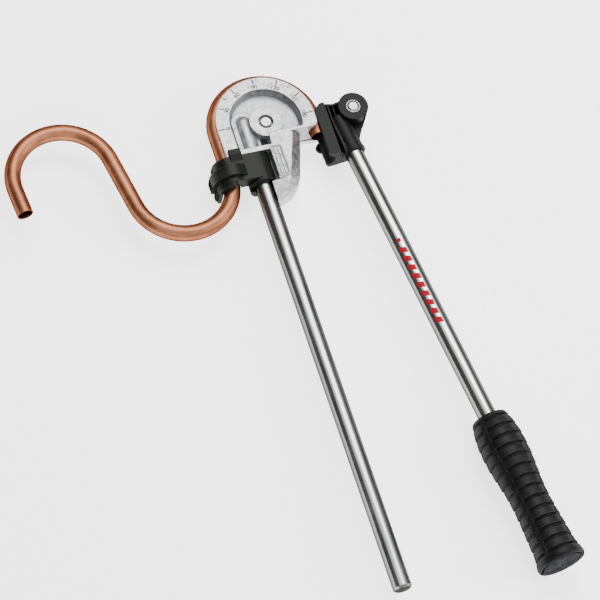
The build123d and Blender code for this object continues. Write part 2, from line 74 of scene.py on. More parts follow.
# %% Camera
CAMERA_PLACE = (-742.394, -1353.592, 2537.187)          # mm from the centre pin
CAMERA_TURN = (27.6194, -7.50076, -17.4859)             # degrees
LENS = 195.34                                           # mm, on a 36 mm wide sensor
camera_data = bpy.data.cameras.new("camera")
camera = bpy.data.objects.new("camera", camera_data)
bpy.context.scene.collection.objects.link(camera)
bpy.context.scene.camera = camera
camera_data.sensor_width = 36.0
camera_data.lens = LENS
camera_data.clip_end = 20.0
camera.location = [v * MM for v in CAMERA_PLACE]
camera.rotation_euler = Euler([math.radians(v) for v in CAMERA_TURN], "XYZ")
print("camera", round(camera.location.length, 2), "m from the centre pin")

# %% [markdown]
# ## Helpers for materials
#
# Every finish here is a Principled shader with a few nodes in front of it. Two short helpers
# keep the cells readable: one adds a node and sets its values, one starts a new material.

# %% Node helpers
def add_node(tree, kind, values=None, **settings):
    """Adds a node, sets its properties, then its unlinked input values by name or number."""
    node = tree.nodes.new(kind)
    for name, value in settings.items():
        setattr(node, name, value)
    for name, value in (values or {}).items():
        node.inputs[name].default_value = value
    return node


def new_finish(name, **principled):
    """A material with an empty Principled shader whose plain values are set on its sockets."""
    material = bpy.data.materials.new(name)
    material.use_nodes = True
    shader = material.node_tree.nodes["Principled BSDF"]
    for socket, value in principled.items():
        shader.inputs[socket.replace("_", " ")].default_value = value
    return material, material.node_tree, shader


def paint(node, material):
    """Puts one finish on every slot of a CAD node."""
    mesh = nodes[node].data
    mesh.materials.clear()
    mesh.materials.append(material)
    print(node, "is finished in", material.name)


# %% [markdown]
# ## Shared effects
#
# Cast, plated and moulded surfaces share four effects, so each is a node group with its own
# inputs. Soft edges rounds the shading of sharp CAD edges and gives a mask of where they are.
# Grain is a fine and a coarse noise together. Drawn lines stretches noise along a bar, as
# drawing through a die does. Cavity tells corners and pockets from open faces; the finishes
# use it to paint shade there, where less light comes in.

# %% Shared node groups
def new_group(name, inputs, outputs):
    """A shader node group. Inputs are (name, socket type, value); outputs are (name, type)."""
    group = bpy.data.node_groups.new(name, "ShaderNodeTree")
    for label, kind, value in inputs:
        socket = group.interface.new_socket(label, in_out="INPUT", socket_type=kind)
        socket.default_value = value
    for label, kind in outputs:
        group.interface.new_socket(label, in_out="OUTPUT", socket_type=kind)
    return group, group.nodes.new("NodeGroupInput"), group.nodes.new("NodeGroupOutput")


def soft_edges_group():
    """Edge mask = 1 - (bevelled normal . true normal), scaled; noise breaks it up."""
    group, given, out = new_group(
        "soft_edges",
        [("Radius", "NodeSocketFloat", 0.0006), ("Wear Scale", "NodeSocketFloat", 900.0)],
        [("Normal", "NodeSocketVector"), ("Edge", "NodeSocketFloat")])
    link = group.links.new
    bevel = add_node(group, "ShaderNodeBevel", samples=6)
    link(given.outputs["Radius"], bevel.inputs["Radius"])
    true_normal = add_node(group, "ShaderNodeNewGeometry")
    dot = add_node(group, "ShaderNodeVectorMath", operation="DOT_PRODUCT")
    link(bevel.outputs[0], dot.inputs[0])
    link(true_normal.outputs["Normal"], dot.inputs[1])
    turned = add_node(group, "ShaderNodeMapRange", {"From Min": 0.995, "From Max": 0.88})
    link(dot.outputs["Value"], turned.inputs["Value"])
    place = add_node(group, "ShaderNodeTexCoord")
    noise = add_node(group, "ShaderNodeTexNoise", {"Detail": 3.0})
    link(place.outputs["Object"], noise.inputs["Vector"])
    link(given.outputs["Wear Scale"], noise.inputs["Scale"])
    patchy = add_node(group, "ShaderNodeMapRange", {"From Min": 0.42, "From Max": 0.62})
    link(noise.outputs["Fac"], patchy.inputs["Value"])
    both = add_node(group, "ShaderNodeMath", operation="MULTIPLY")
    link(turned.outputs[0], both.inputs[0])
    link(patchy.outputs[0], both.inputs[1])
    link(bevel.outputs[0], out.inputs["Normal"])
    link(both.outputs[0], out.inputs["Edge"])
    return group


def grain_group():
    """Fine noise, coarse noise, and their mix, all in 0 to 1."""
    group, given, out = new_group(
        "grain",
        [("Fine", "NodeSocketFloat", 2500.0), ("Coarse", "NodeSocketFloat", 180.0)],
        [("Fine", "NodeSocketFloat"), ("Coarse", "NodeSocketFloat"),
         ("Both", "NodeSocketFloat")])
    link = group.links.new
    place = add_node(group, "ShaderNodeTexCoord")
    made = []
    for label, detail in (("Fine", 2.0), ("Coarse", 5.0)):
        noise = add_node(group, "ShaderNodeTexNoise", {"Detail": detail, "Roughness": 0.6})
        link(place.outputs["Object"], noise.inputs["Vector"])
        link(given.outputs[label], noise.inputs["Scale"])
        link(noise.outputs["Fac"], out.inputs[label])
        made.append(noise)
    both = add_node(group, "ShaderNodeMath", operation="ADD")
    half = add_node(group, "ShaderNodeMath", {1: 0.5}, operation="MULTIPLY")
    link(made[0].outputs["Fac"], both.inputs[0])
    link(made[1].outputs["Fac"], both.inputs[1])
    link(both.outputs[0], half.inputs[0])
    link(half.outputs[0], out.inputs["Both"])
    return group


def drawn_lines_group():
    """Noise on coordinates squeezed 1:60 along a bar that lies along Y before Turn is applied."""
    group, given, out = new_group(
        "drawn_lines",
        [("Turn", "NodeSocketVector", (0.0, 0.0, 0.0)), ("Density", "NodeSocketFloat", 1.0)],
        [("Lines", "NodeSocketFloat"), ("Bands", "NodeSocketFloat")])
    link = group.links.new
    place = add_node(group, "ShaderNodeTexCoord")
    turn = add_node(group, "ShaderNodeMapping")
    link(place.outputs["Object"], turn.inputs["Vector"])
    link(given.outputs["Turn"], turn.inputs["Rotation"])
    for label, stretch in (("Lines", (2600.0, 30.0, 2600.0)), ("Bands", (160.0, 22.0, 160.0))):
        squeeze = add_node(group, "ShaderNodeVectorMath", {1: stretch}, operation="MULTIPLY")
        scale = add_node(group, "ShaderNodeVectorMath", operation="SCALE")
        noise = add_node(group, "ShaderNodeTexNoise", {"Scale": 1.0, "Detail": 3.0})
        link(turn.outputs[0], squeeze.inputs[0])
        link(squeeze.outputs[0], scale.inputs[0])
        link(given.outputs["Density"], scale.inputs["Scale"])
        link(scale.outputs[0], noise.inputs["Vector"])
        link(noise.outputs["Fac"], out.inputs[label])
    return group


def cavity_group():
    """Open = how much of the sky above a point is free of the same surface, 0 in a corner."""
    group, given, out = new_group(
        "cavity",
        [("Reach", "NodeSocketFloat", 0.004), ("Shut At", "NodeSocketFloat", 0.35)],
        [("Open", "NodeSocketFloat")])
    occlusion = add_node(group, "ShaderNodeAmbientOcclusion", samples=8, only_local=True)
    opened = add_node(group, "ShaderNodeMapRange", {"From Max": 0.95})
    link = group.links.new
    link(given.outputs["Reach"], occlusion.inputs["Distance"])
    link(given.outputs["Shut At"], opened.inputs["From Min"])
    link(occlusion.outputs["AO"], opened.inputs["Value"])
    link(opened.outputs[0], out.inputs["Open"])
    return group


SOFT_EDGES = soft_edges_group()
CAVITY = cavity_group()
GRAIN = grain_group()
DRAWN_LINES = drawn_lines_group()


def use_group(tree, group, **values):
    """Places a shared group in a material with its own values."""
    node = tree.nodes.new("ShaderNodeGroup")
    node.node_tree = group
    for label, value in values.items():
        node.inputs[label.replace("_", " ")].default_value = value
    return node


def ramp(tree, factor, stops):
    """Colour ramp from a factor; stops are (position, (r, g, b))."""
    node = tree.nodes.new("ShaderNodeValToRGB")
    while len(node.color_ramp.elements) < len(stops):
        node.color_ramp.elements.new(0.5)
    for element, (position, colour) in zip(node.color_ramp.elements, stops):
        element.position = position
        element.color = (*colour, 1.0)
    tree.links.new(factor, node.inputs["Fac"])
    return node.outputs["Color"]


def spread(tree, factor, low, high, start=0.3, end=0.7):
    """Maps a 0 to 1 mask on to a range of values, such as roughness."""
    node = add_node(tree, "ShaderNodeMapRange",
                    {"From Min": start, "From Max": end, "To Min": low, "To Max": high})
    tree.links.new(factor, node.inputs["Value"])
    return node.outputs[0]


def blend_colour(tree, factor, first, second, mode="MIX"):
    """Mixes two colours; each is a socket or a plain (r, g, b)."""
    node = add_node(tree, "ShaderNodeMix", data_type="RGBA", blend_type=mode)
    tree.links.new(factor, node.inputs[0])
    for socket, colour in ((node.inputs[6], first), (node.inputs[7], second)):
        if isinstance(colour, tuple):
            socket.default_value = (*colour, 1.0)
        else:
            tree.links.new(colour, socket)
    return node.outputs[2]


def bump(tree, height, normal, strength, distance):
    """Bump on top of another normal."""
    node = add_node(tree, "ShaderNodeBump", {"Strength": strength, "Distance": distance})
    tree.links.new(height, node.inputs["Height"])
    if normal is not None:
        tree.links.new(normal, node.inputs["Normal"])
    return node.outputs[0]


def fade_grazing(tree, facing_value, grazing_value, start, end):
    """A value that changes as the surface turns away from the eye."""
    facing = add_node(tree, "ShaderNodeLayerWeight", {"Blend": 0.5})
    fade = add_node(tree, "ShaderNodeMapRange", {
        "From Min": start, "From Max": end, "To Min": facing_value, "To Max": grazing_value})
    tree.links.new(facing.outputs["Facing"], fade.inputs["Value"])
    return fade.outputs[0]


def darken_grazing(tree, colour, strength, start, end):
    """Multiplies a colour down where the surface turns away from the eye: painted shade, standing
    in for darker reflections at a round part's sides.
    """
    mixed = add_node(tree, "ShaderNodeMix", {0: 1.0}, data_type="RGBA", blend_type="MULTIPLY")
    tree.links.new(colour, mixed.inputs[6])
    tree.links.new(fade_grazing(tree, 1.0, strength, start, end), mixed.inputs[7])
    return mixed.outputs[2]


print("groups:", ", ".join(group.name for group in bpy.data.node_groups))

# %% [markdown]
# ## Cast aluminium
#
# The former is a tumbled die-casting: pale, slightly mottled, with a fine sandy skin and
# brighter rubbed edges. It isn't a mirror, so most of its look is broad grey reflection.

# %% Cast aluminium
def cast_aluminium():
    """Mottled grey skin with pits and brighter edges, with painted shade in corners and pockets.
    """
    material, tree, shader = new_finish("cast_aluminium", Metallic=1.0)
    link = tree.links.new
    edges = use_group(tree, SOFT_EDGES, Radius=0.9 * MM, Wear_Scale=500.0)
    grain = use_group(tree, GRAIN, Fine=900.0, Coarse=220.0)
    corners = use_group(tree, CAVITY, Reach=2.2 * MM, Shut_At=0.32)
    pockets = use_group(tree, CAVITY, Reach=12.0 * MM, Shut_At=0.30)
    skin = ramp(tree, grain.outputs["Coarse"],
                [(0.34, (0.23, 0.235, 0.24)), (0.5, (0.41, 0.415, 0.41)),
                 (0.66, (0.58, 0.58, 0.56))])
    specks = spread(tree, grain.outputs["Fine"], 0.0, 1.0, 0.30, 0.38)
    pitted = blend_colour(tree, specks, (0.16, 0.16, 0.155), skin)
    worn = blend_colour(tree, edges.outputs["Edge"], pitted, (0.62, 0.62, 0.62))
    # Painted shade: pockets go a bluish grey and tight corners a dark grey, from the two cavity
    # masks.
    shaded = blend_colour(tree, pockets.outputs["Open"], (0.24, 0.25, 0.29), worn)
    corner_shaded = blend_colour(tree, corners.outputs["Open"], (0.19, 0.19, 0.185), shaded)
    link(spread(tree, pockets.outputs["Open"], 0.45, 1.0, 0.0, 1.0), shader.inputs["Metallic"])
    link(corner_shaded, shader.inputs["Base Color"])
    link(spread(tree, grain.outputs["Both"], 0.34, 0.56), shader.inputs["Roughness"])
    rough = bump(tree, grain.outputs["Fine"], edges.outputs["Normal"], 0.35, 0.06 * MM)
    link(bump(tree, grain.outputs["Coarse"], rough, 0.4, 0.25 * MM), shader.inputs["Normal"])
    return material


paint("bending_former", cast_aluminium())

# %% [markdown]
# ## Bars: zinc and bright plate
#
# The fixed bar is drawn steel under thin zinc, slightly grey and streaked along its length.
# The lever tube is plated brighter. Both use the drawn lines group, turned to lie along
# each bar, with different roughness.

# %% Bar finishes
LEVER_TILT = math.radians(6.8)       # between the lever and the fixed bar


def drawn_metal(name, low, high, rough_low, rough_high, turn):
    """Bright bar with fine lines along it, turned about Z by an angle to follow the bar."""
    material, tree, shader = new_finish(name, Metallic=1.0)
    shader.inputs["Specular Tint"].default_value = (0.20, 0.20, 0.19, 1.0)
    link = tree.links.new
    edges = use_group(tree, SOFT_EDGES, Radius=0.4 * MM, Wear_Scale=700.0)
    lines = use_group(tree, DRAWN_LINES, Turn=(0.0, 0.0, turn))
    tone = ramp(tree, lines.outputs["Bands"], [(0.3, low), (0.7, high)])
    streak = ramp(tree, lines.outputs["Lines"], [(0.3, (0.86,) * 3), (0.7, (1.0,) * 3)])
    mixed = add_node(tree, "ShaderNodeMix", {0: 0.7}, data_type="RGBA", blend_type="MULTIPLY")
    link(tone, mixed.inputs[6])
    link(streak, mixed.inputs[7])
    # Painted shade: the colour darkens where the bar turns away from the eye, towards its sides.
    link(darken_grazing(tree, mixed.outputs[2], 0.30, 0.08, 0.38), shader.inputs["Base Color"])
    link(spread(tree, lines.outputs["Bands"], rough_low, rough_high),
         shader.inputs["Roughness"])
    link(bump(tree, lines.outputs["Lines"], edges.outputs["Normal"], 0.25, 0.02 * MM),
         shader.inputs["Normal"])
    return material


paint("fixed_bar", drawn_metal("zinc_bar", (0.40, 0.41, 0.40), (0.56, 0.565, 0.56),
                               0.16, 0.28, 0.0))
paint("lever_tube", drawn_metal("bright_tube", (0.48, 0.485, 0.46), (0.62, 0.625, 0.61),
                                0.10, 0.20, -LEVER_TILT))

# %% [markdown]
# ## Black castings and the moulded shoe

# %% Black finishes
def black_coat(name, dark, light, edge_colour, rough_low, rough_high, fine, depth,
               shine=0.12):
    """Black skin with grain, paler edges and painted black shade in corners; its shine fades
    sideways.
    """
    material, tree, shader = new_finish(name, Metallic=0.0, Specular_IOR_Level=shine)
    link = tree.links.new
    edges = use_group(tree, SOFT_EDGES, Radius=1.0 * MM, Wear_Scale=420.0)
    grain = use_group(tree, GRAIN, Fine=fine, Coarse=120.0)
    corners = use_group(tree, CAVITY, Reach=4.0 * MM, Shut_At=0.25)
    skin = ramp(tree, grain.outputs["Coarse"], [(0.3, dark), (0.7, light)])
    colour = blend_colour(tree, edges.outputs["Edge"], skin, edge_colour)
    # Painted shade: corners that the cavity mask finds closed in go black.
    link(blend_colour(tree, corners.outputs["Open"], (0.001, 0.001, 0.001), colour),
         shader.inputs["Base Color"])
    link(spread(tree, grain.outputs["Both"], rough_low, rough_high),
         shader.inputs["Roughness"])
    link(fade_grazing(tree, shine, 0.0, 0.30, 0.75), shader.inputs["Specular IOR Level"])
    rough = bump(tree, grain.outputs["Fine"], edges.outputs["Normal"], 0.3, depth)
    link(bump(tree, grain.outputs["Coarse"], rough, 0.3, 0.2 * MM), shader.inputs["Normal"])
    return material


paint("tube_hook", black_coat("black_casting", (0.004, 0.005, 0.004), (0.014, 0.016, 0.012),
                              (0.05, 0.05, 0.045), 0.30, 0.48, 1800.0, 0.05 * MM))
paint("lever_head", black_coat("black_head", (0.003, 0.0035, 0.003), (0.008, 0.009, 0.008),
                               (0.04, 0.04, 0.04), 0.32, 0.50, 1800.0, 0.05 * MM))
paint("slide_shoe", black_coat("black_shoe", (0.009, 0.010, 0.009), (0.018, 0.020, 0.018),
                               (0.05, 0.05, 0.05), 0.42, 0.58, 2600.0, 0.03 * MM))

# %% [markdown]
# ## Copper

# %% Copper
def copper():
    """Bare copper in three tones, with painted shade deep inside the bore and towards its sides.
    """
    material, tree, shader = new_finish("copper", Metallic=1.0)
    link = tree.links.new
    edges = use_group(tree, SOFT_EDGES, Radius=0.3 * MM)
    grain = use_group(tree, GRAIN, Fine=1400.0, Coarse=70.0)
    tone = ramp(tree, grain.outputs["Coarse"],
                [(0.3, (0.24, 0.092, 0.046)), (0.5, (0.33, 0.130, 0.068)),
                 (0.72, (0.43, 0.180, 0.098))])
    inside = use_group(tree, CAVITY, Reach=20.0 * MM, Shut_At=0.10)
    # Painted shade: the colour goes near black deep inside the bore.
    bore_shaded = blend_colour(tree, inside.outputs["Open"], (0.05, 0.025, 0.015), tone)
    # Painted shade: the colour darkens where the tube turns away from the eye.
    link(darken_grazing(tree, bore_shaded, 0.24, 0.18, 0.80), shader.inputs["Base Color"])
    shader.inputs["Specular Tint"].default_value = (0.28, 0.18, 0.14, 1.0)
    link(spread(tree, grain.outputs["Both"], 0.36, 0.52), shader.inputs["Roughness"])
    link(bump(tree, grain.outputs["Fine"], edges.outputs["Normal"], 0.2, 0.02 * MM),
         shader.inputs["Normal"])
    return material


paint("copper_tube", copper())

# %% [markdown]
# ## Small steel parts

# %% Pins, clips and washers
def small_metal(name, dark, light, rough):
    """Plain turned or plated metal with a little cloud in its tone."""
    material, tree, shader = new_finish(name, Metallic=1.0)
    link = tree.links.new
    edges = use_group(tree, SOFT_EDGES, Radius=0.3 * MM, Wear_Scale=1500.0)
    grain = use_group(tree, GRAIN, Fine=3000.0, Coarse=350.0)
    link(ramp(tree, grain.outputs["Coarse"], [(0.3, dark), (0.7, light)]),
         shader.inputs["Base Color"])
    link(spread(tree, grain.outputs["Both"], rough - 0.08, rough + 0.08),
         shader.inputs["Roughness"])
    link(bump(tree, grain.outputs["Fine"], edges.outputs["Normal"], 0.2, 0.02 * MM),
         shader.inputs["Normal"])
    return material


def printing_ink(name, dark, light):
    """Matt ink, slightly uneven, as screen printing leaves it."""
    material, tree, shader = new_finish(name, Metallic=0.0, Specular_IOR_Level=0.15)
    grain = use_group(tree, GRAIN, Fine=2500.0, Coarse=500.0)
    tree.links.new(ramp(tree, grain.outputs["Coarse"], [(0.35, dark), (0.65, light)]),
                   shader.inputs["Base Color"])
    tree.links.new(spread(tree, grain.outputs["Both"], 0.5, 0.7), shader.inputs["Roughness"])
    tree.links.new(bump(tree, grain.outputs["Fine"], None, 0.2, 0.01 * MM),
                   shader.inputs["Normal"])
    return material


turned = small_metal("pin_steel", (0.26, 0.26, 0.255), (0.44, 0.44, 0.43), 0.34)
plated = small_metal("zinc_plate", (0.46, 0.47, 0.49), (0.60, 0.61, 0.63), 0.36)
spring = small_metal("spring_steel", (0.16, 0.16, 0.17), (0.30, 0.30, 0.31), 0.34)
bronze = small_metal("bush_bronze", (0.42, 0.28, 0.12), (0.62, 0.43, 0.20), 0.38)
oxide = small_metal("screw_steel", (0.025, 0.025, 0.028), (0.06, 0.06, 0.062), 0.42)
for node, finish in {
        "centre_pin": turned, "eye_pin": turned, "eye_bush": turned, "eye_clip": oxide,
        "centre_inner_washer": plated, "centre_outer_washer": plated, "eye_washer": plated,
        "rear_link": plated, "centre_clip": spring, "bar_roll_pin": spring,
        "lever_roll_pin": spring, "centre_bush": bronze, "shoe_screws": oxide}.items():
    paint(node, finish)

# %% [markdown]
# ## New pieces as surfaces
#
# The moulded pieces are revolved surfaces with something pressed into them. Each is one
# closed profile, given as whole arrays of station and radius, swept round the lever's axis.
# A piece is built at the origin along its own axis, and one placing step, applied to the
# mesh, carries it on to the lever.

# %% Surface helpers
LEVER_X = 66.9 * MM                  # where the lever's axis crosses the row frame's X axis
LEVER_PLACE = Euler((0.0, 0.0, LEVER_TILT)).to_matrix().to_4x4()
LEVER_PLACE.translation = Vector((LEVER_X, 0.0, 0.0))


def mesh_object(name, points, faces, finish, smooth=True):
    """A mesh from an (n, 3) array of points and a list or array of faces."""
    mesh = bpy.data.meshes.new(name)
    mesh.from_pydata(points.tolist(), [], [tuple(face) for face in faces])
    mesh.materials.append(finish)
    mesh.polygons.foreach_set("use_smooth", np.full(len(mesh.polygons), smooth))
    mesh.update()
    made = bpy.data.objects.new(name, mesh)
    bpy.context.scene.collection.objects.link(made)
    return made


def on_lever(made):
    """Moves a mesh drawn along -Y on to the lever's axis and lets it ride the lever."""
    made.data.transform(LEVER_PLACE)
    made.data.update()
    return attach(made, "lever")


def wrapped_grid(rows, columns):
    """Quads of a grid that closes on itself both ways."""
    row, column = np.meshgrid(np.arange(rows), np.arange(columns), indexing="ij")
    next_row, next_column = (row + 1) % rows, (column + 1) % columns
    corners = (row * columns + column, row * columns + next_column,
               next_row * columns + next_column, next_row * columns + column)
    return np.stack(corners, axis=-1).reshape(-1, 4)


def revolved(station, radius, angle):
    """Points at (radius sin angle, -station, radius cos angle), all arrays of one shape."""
    return np.stack([radius * np.sin(angle), -station, radius * np.cos(angle)],
                    axis=-1).reshape(-1, 3)


def smooth_step(value, low, high):
    """0 below low, 1 above high, with an S-shaped rise between them."""
    t = np.clip((value - low) / (high - low), 0.0, 1.0)
    return t * t * (3.0 - 2.0 * t)


# %% [markdown]
# ## The grip
#
# The grip is moulded rubber, waisted in the middle and flared at its end. Each ring groove
# has steep walls, each band between grooves widens towards its lower edge so that a pulling
# hand can't slip, and four smooth lands with a fine seam run its length, where the mould's
# slides meet. The outer radius is the waisted profile, less the grooves and seams, plus the
# bands' flare, with the lands' mask switching the grooves off.

# %% Grip
GRIP_TOP, GRIP_END = 331.0, 478.0
GRIP_STATIONS = (331, 334, 340, 350, 362, 374, 388, 402, 416, 430, 445, 458, 466, 471, 475, 478)
GRIP_RADII = (15.8, 17.2, 18.6, 20.2, 20.8, 20.5, 19.2, 17.7, 17.2, 17.6, 18.5, 19.2, 19.8,
              21.5, 22.0, 21.2)
RING_PITCH, FIRST_RING, RINGS = 10.2, 335.5, 14
GROOVE_DEPTH = 1.6
BAND_FLARE = 0.7                     # each band is wider at its lower edge, like a saw tooth
SEAM_DEPTH = 0.45
BORE_R = 8.52
GROOVE_START = 1.0                   # a groove begins this far above its ring's station
FALL, FLOOR_END, RISE_END = 0.6, 2.1, 2.9
LAND_HALF, LAND_EDGE, SEAM_EDGE = 1.2, 0.7, 0.6
GRIP_ROWS, GRIP_COLUMNS = 440, 184
SMOOTHING = 13                       # rows that the waist's profile is averaged over
RECESS_R, RECESS_FLOOR = 17.6, 475.5


def ring_phase(station):
    """(which ring, how far past its start in mm)."""
    past = station - FIRST_RING + GROOVE_START
    index = np.floor(past / RING_PITCH)
    return index, past - index * RING_PITCH


def groove_depth(station):
    """0 to 1: a steep fall over 0.6 mm, a floor of 1.5 mm, then a rise over 0.8 mm."""
    index, within = ring_phase(station)
    shape = smooth_step(within, 0.0, FALL) * (1.0 - smooth_step(within, FLOOR_END, RISE_END))
    return shape * (index >= 0) * (index < RINGS)


def land_mask(angle, half_width, edge, radius):
    """1 on the four lands, 45 degrees from the axes, falling to 0 beside them."""
    quarter = np.pi / 2
    offset = np.abs(angle % quarter - quarter / 2) * radius
    return 1.0 - smooth_step(offset, half_width, half_width + edge)


def grip():
    """Closed sweep: out over the top, down the grooved side, in under, and up the bore."""
    side = np.linspace(GRIP_TOP, GRIP_END, GRIP_ROWS)
    waist = np.interp(side, GRIP_STATIONS, GRIP_RADII)
    kernel = np.hanning(SMOOTHING) / np.hanning(SMOOTHING).sum()
    waist[8:-8] = np.convolve(waist, kernel, mode="same")[8:-8]
    station = np.concatenate([[GRIP_TOP, GRIP_TOP - 0.6], side,
                              [GRIP_END, RECESS_FLOOR, RECESS_FLOOR]])
    radius = np.concatenate([[BORE_R, 14.0], waist, [RECESS_R, RECESS_R - 0.05, BORE_R]])
    weight = np.concatenate([[0, 0], np.ones(len(side)), [0, 0, 0]])
    angle = np.linspace(0.0, 2 * np.pi, GRIP_COLUMNS, endpoint=False)[None, :]
    station, radius, weight = (v[:, None] + 0.0 * angle for v in (station, radius, weight))
    angle = angle + 0.0 * station
    land = land_mask(angle, LAND_HALF, LAND_EDGE, radius)
    seam = land_mask(angle, 0.0, SEAM_EDGE, radius)
    index, within = ring_phase(station)
    flare = BAND_FLARE * (within / RING_PITCH - 0.5) * (index >= 0) * (index < RINGS)
    rim = smooth_step(station, 470.0, 472.0)
    change = (-GROOVE_DEPTH * groove_depth(station) * (1.0 - land) + flare * (1.0 - land)
              - SEAM_DEPTH * seam * (1.0 - rim))
    points = revolved(station, radius + weight * change, angle) * MM
    return on_lever(mesh_object("moulded_grip", points, wrapped_grid(*station.shape), rubber))


# The grip's pale edge colour, 0.14, is a painted highlight along the groove edges.
rubber = black_coat("grip_rubber", (0.004, 0.004, 0.004), (0.010, 0.010, 0.010),
                    (0.14, 0.14, 0.14), 0.34, 0.52, 2400.0, 0.04 * MM)
cap_plastic = black_coat("cap_plastic", (0.010, 0.011, 0.012), (0.040, 0.043, 0.046),
                         (0.12, 0.12, 0.12), 0.42, 0.62, 1500.0, 0.04 * MM, shine=0.03)
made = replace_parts(grip(), "grip")
print(made.name, len(made.data.vertices), "points")

# %% [markdown]
# ## The end cap
#
# The cap is a moulded plug, slightly domed, with a vent in the middle, a shallow ring near
# its edge and two moulded dimples, as such caps have for an assembly tool.

# %% End cap
CAP_R, CAP_DOME = 17.45, 1.0
CAP_RISE = 0.4                       # the cap's edge stands this far past the grip's end
VENT_R = 1.3
EDGE_RING = (14.2, 0.45, -0.35)      # radius, width and height of a ring on the face
VENT_RING = (2.6, 0.7, 0.5)
DIMPLES = ((7.5, 2.0), (-8.5, -2.5))
DIMPLE_SIZE, DIMPLE_DEPTH = 0.8, 0.9
CAP_UNDER = 2.3
CAP_COLUMNS = 120


def dimple(x, y, x0, y0, size):
    """A round hollow, deepest at its centre."""
    return np.exp(-((x - x0) ** 2 + (y - y0) ** 2) / (2 * size ** 2))


def end_cap():
    """Closed sweep: up the vent, out over the domed face, down the side and back inside."""
    face = np.linspace(VENT_R, CAP_R - 0.4, 60)
    rows = np.concatenate([[VENT_R], face, [CAP_R, CAP_R, VENT_R]])
    angle = np.linspace(0.0, 2 * np.pi, CAP_COLUMNS, endpoint=False)[None, :]
    radius = rows[:, None] + 0.0 * angle
    angle = angle + 0.0 * radius
    x, y = radius * np.cos(angle), radius * np.sin(angle)
    height = CAP_DOME * (1.0 - (radius / CAP_R) ** 2) + CAP_RISE
    for centre, width, rise in (EDGE_RING, VENT_RING):
        height += rise * np.exp(-((radius - centre) / width) ** 2)
    for x0, y0 in DIMPLES:
        height -= DIMPLE_DEPTH * dimple(x, y, x0, y0, DIMPLE_SIZE)
    height[0, :] = height[1, :] - 2.0
    height[-3, :] = 0.0
    height[-2:, :] = -CAP_UNDER
    points = revolved(GRIP_END + height, radius, angle) * MM
    return on_lever(mesh_object("domed_end_cap", points, wrapped_grid(*radius.shape),
                                cap_plastic))


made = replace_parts(end_cap(), "grip_end_cap")
print(made.name, len(made.data.vertices), "points")

# %% [markdown]
# ## Scale numbers
#
# The rim's scale shows how far the tube has been bent. The real numbers are cast in and
# inked. Here they're thin dark shapes that stand a few hundredths of a millimetre proud, so
# they look inked from any angle, and a sliver of ink fills each engraved tick. The font is
# Blender's own.

# %% Scale numbers
FACE_Z = 12.0 * MM
NUMBER_R = 36.4 * MM                 # from the centre pin to the middle of a number
NUMBER_SIZE, NUMBER_BOLD = 5.6 * MM, 0.14 * MM
NUMBER_SUNK = 0.04 * MM
TICK_ANGLES, HALF_TICKS = (0, 30, 45, 60, 90, 120, 135, 150, 180), (45, 135)
TICK_INNER, HALF_TICK_INNER, TICK_OUTER, TICK_INK_WIDTH = 39.3, 41.3, 44.7, 0.74


def number_outline(angle):
    """One number as a mesh at the origin, turned so that its top points away from the pin."""
    curve = bpy.data.curves.new("number", "FONT")
    curve.body = str(angle)
    curve.size = NUMBER_SIZE
    curve.offset = NUMBER_BOLD
    curve.align_x, curve.align_y = "CENTER", "CENTER"
    curve.extrude = 0.1 * MM
    holder = bpy.data.objects.new("number", curve)
    bpy.context.scene.collection.objects.link(holder)
    bpy.context.view_layer.update()
    mesh = bpy.data.meshes.new_from_object(holder.evaluated_get(
        bpy.context.evaluated_depsgraph_get()))
    bpy.data.objects.remove(holder)
    turn = math.radians(90 - angle)
    place = Euler((0.0, 0.0, turn)).to_matrix().to_4x4()
    place.translation = Vector((-NUMBER_R * math.sin(turn), NUMBER_R * math.cos(turn),
                                FACE_Z - NUMBER_SUNK))
    mesh.transform(place)
    return mesh


def tick_fill(angle, inner, outer, width):
    """A slim box of ink that lies in an engraved tick: corners from sign products."""
    signs = np.array([(i, j, k) for k in (0, 1) for j in (0, 1) for i in (0, 1)], float)
    across = (signs[:, 0] - 0.5) * width
    out = inner + (outer - inner) * signs[:, 1]
    up = FACE_Z / MM - 0.55 + 0.5 * signs[:, 2]
    turn = math.radians(90 - angle)
    x = across * math.cos(turn) - out * math.sin(turn)
    y = across * math.sin(turn) + out * math.cos(turn)
    faces = [(0, 2, 3, 1), (4, 5, 7, 6), (0, 1, 5, 4), (2, 6, 7, 3), (0, 4, 6, 2), (1, 3, 7, 5)]
    return np.stack([x, y, up], axis=-1) * MM, faces


def scale_numbers():
    """All seven numbers and the ticks' ink, joined into one piece that rides the former."""
    points, faces, count = [], [], 0
    for angle in TICK_ANGLES:
        inner = HALF_TICK_INNER if angle in HALF_TICKS else TICK_INNER
        fill_points, fill_faces = tick_fill(angle, inner, TICK_OUTER, TICK_INK_WIDTH)
        points.extend(fill_points.tolist())
        faces.extend(tuple(count + v for v in face) for face in fill_faces)
        count += len(fill_points)
    for angle in range(0, 181, 30):
        mesh = number_outline(angle)
        points.extend(vertex.co[:] for vertex in mesh.vertices)
        faces.extend(tuple(count + v for v in face.vertices) for face in mesh.polygons)
        count += len(mesh.vertices)
    ink = printing_ink("scale_ink", (0.015, 0.015, 0.015), (0.05, 0.05, 0.05))
    made = mesh_object("scale_numbers", np.array(points), faces, ink, smooth=False)
    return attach(made, "frame")


print(scale_numbers().name)

# %% [markdown]
# ## The printed mark
#
# A printed mark shows which way up the lever is. It's a row of plain slanted red bars and one
# small bar, screen printed on the plated tube, so it's a hair thicker than the surface.

# %% Printed bars
MARK_START, MARK_END = 152.0, 236.0
MARK_TURN = math.radians(-17.0)
MARK_R, MARK_FOOT = 8.55, 8.46       # outside of the ink, and its foot just inside the tube
MARK_BARS = 9
BAR_LENGTH, BAR_WIDTH, BAR_SLANT = 5.8, 6.6, 2.4
SMALL_BAR = (142.5, 146.5, 4.0, 0.0)


